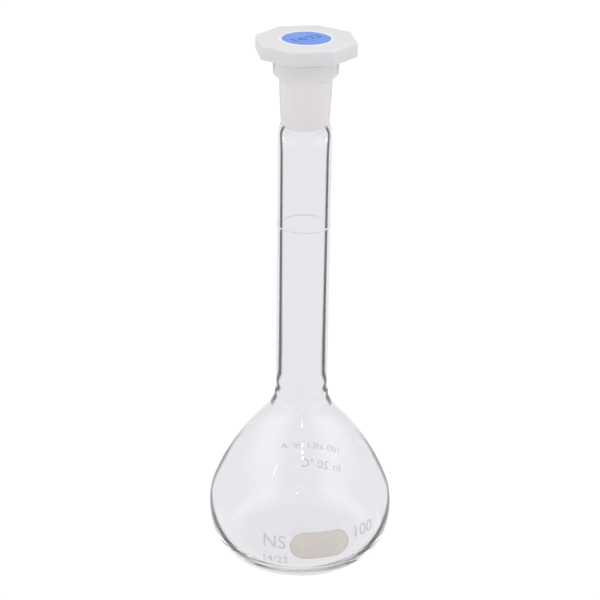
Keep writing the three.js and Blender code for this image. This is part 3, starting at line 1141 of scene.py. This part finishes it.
def lamp(stage, direction, height, width, tallness, power):
    """A small lamp that faces the flask and shows only as a highlight."""
    aim = Vector((0, 0, BELLY_RADIUS))
    level = math.cos(height)
    away = Vector((level * math.cos(direction), level * math.sin(direction), math.sin(height)))
    place = aim + stage.lamp_distance * away
    turn = away.to_track_quat("Z", "Y").to_euler()
    deselect()
    bpy.ops.object.light_add(type="AREA", location=place, rotation=turn)
    light = name_new("lamp")
    light.data.shape = "RECTANGLE"
    light.data.size = width
    light.data.size_y = tallness
    light.data.energy = power
    light.visible_camera = False


class FLASK_OT_stage(Operator):
    """Set the camera, the floor and the light"""

    bl_idname = "flask.stage"
    bl_label = "Stage"

    def execute(self, context):
        scene = context.scene
        stage = scene.flask_stage
        deselect()
        bpy.ops.object.camera_add()
        camera = name_new("camera")
        camera.data.lens = stage.camera_lens
        camera.data.clip_start = CLIP_START
        turn = Matrix.Rotation(stage.camera_turn, 4, "Z")
        tilt = Matrix.Rotation(RIGHT_ANGLE - stage.camera_tilt, 4, "X")
        roll = Matrix.Rotation(stage.camera_roll, 4, "Z")
        place = Matrix.Translation((0, -stage.camera_distance, stage.camera_height))
        camera.matrix_world = place @ turn @ tilt @ roll
        scene.camera = camera
        deselect()
        bpy.ops.mesh.primitive_circle_add(
            vertices=128, radius=stage.floor_radius, fill_type="NGON", location=(0, 0, -FLOOR_DROP)
        )
        floor = name_new("floor")
        floor.data.materials.append(floor_material(stage))
        scene.world = studio_world(stage)
        # direction and height in degrees, width and height in mm, power in W
        lamps = (
            (-85, 45, 50, 26, 0.1),
            (-85, 48.5, 50, 26, 0.1),
            (-85, 52, 50, 26, 0.1),
            (-136, 32, 14, 80, 0.03),
        )
        for direction, height, width, tallness, power in lamps:
            angles = (math.radians(direction), math.radians(height))
            lamp(stage, *angles, width * MM, tallness * MM, power)
        scene.view_settings.view_transform = "Standard"
        scene.cycles.max_bounces = BOUNCES
        scene.cycles.transmission_bounces = BOUNCES
        scene.cycles.glossy_bounces = BOUNCES
        scene.cycles.diffuse_bounces = DIFFUSE_BOUNCES
        return {"FINISHED"}


class VIEW3D_PT_flask(Panel):
    """Lists the flask's pieces"""

    bl_label = "Volumetric Flask"
    bl_space_type = "VIEW_3D"
    bl_region_type = "UI"
    bl_category = "Flask"

    def draw(self, context):
        for operator in OPERATORS:
            self.layout.operator(operator.bl_idname)


GROUPS = {
    "flask_sizes": FlaskSizes,
    "flask_socket": SocketSizes,
    "flask_stopper": StopperSizes,
    "flask_enamel": EnamelSizes,
    "flask_finishes": Finishes,
    "flask_stage": StageSettings,
}
OPERATORS = (
    FLASK_OT_glass,
    FLASK_OT_ring,
    FLASK_OT_panel,
    FLASK_OT_words,
    FLASK_OT_stopper,
    FLASK_OT_disc,
    FLASK_OT_stage,
)


def register():
    for group in GROUPS.values():
        bpy.utils.register_class(group)
    for name, group in GROUPS.items():
        setattr(bpy.types.Scene, name, PointerProperty(type=group))
    for operator in OPERATORS:
        bpy.utils.register_class(operator)
    bpy.utils.register_class(VIEW3D_PT_flask)


def unregister():
    bpy.utils.unregister_class(VIEW3D_PT_flask)
    for operator in reversed(OPERATORS):
        bpy.utils.unregister_class(operator)
    for name in GROUPS:
        delattr(bpy.types.Scene, name)
    for group in reversed(GROUPS.values()):
        bpy.utils.unregister_class(group)


def main():
    register()
    bpy.ops.flask.glass()
    bpy.ops.flask.ring()
    bpy.ops.flask.panel()
    bpy.ops.flask.words()
    bpy.ops.flask.stopper()
    bpy.ops.flask.disc()
    bpy.ops.flask.stage()


if __name__ == "__main__":
    main()
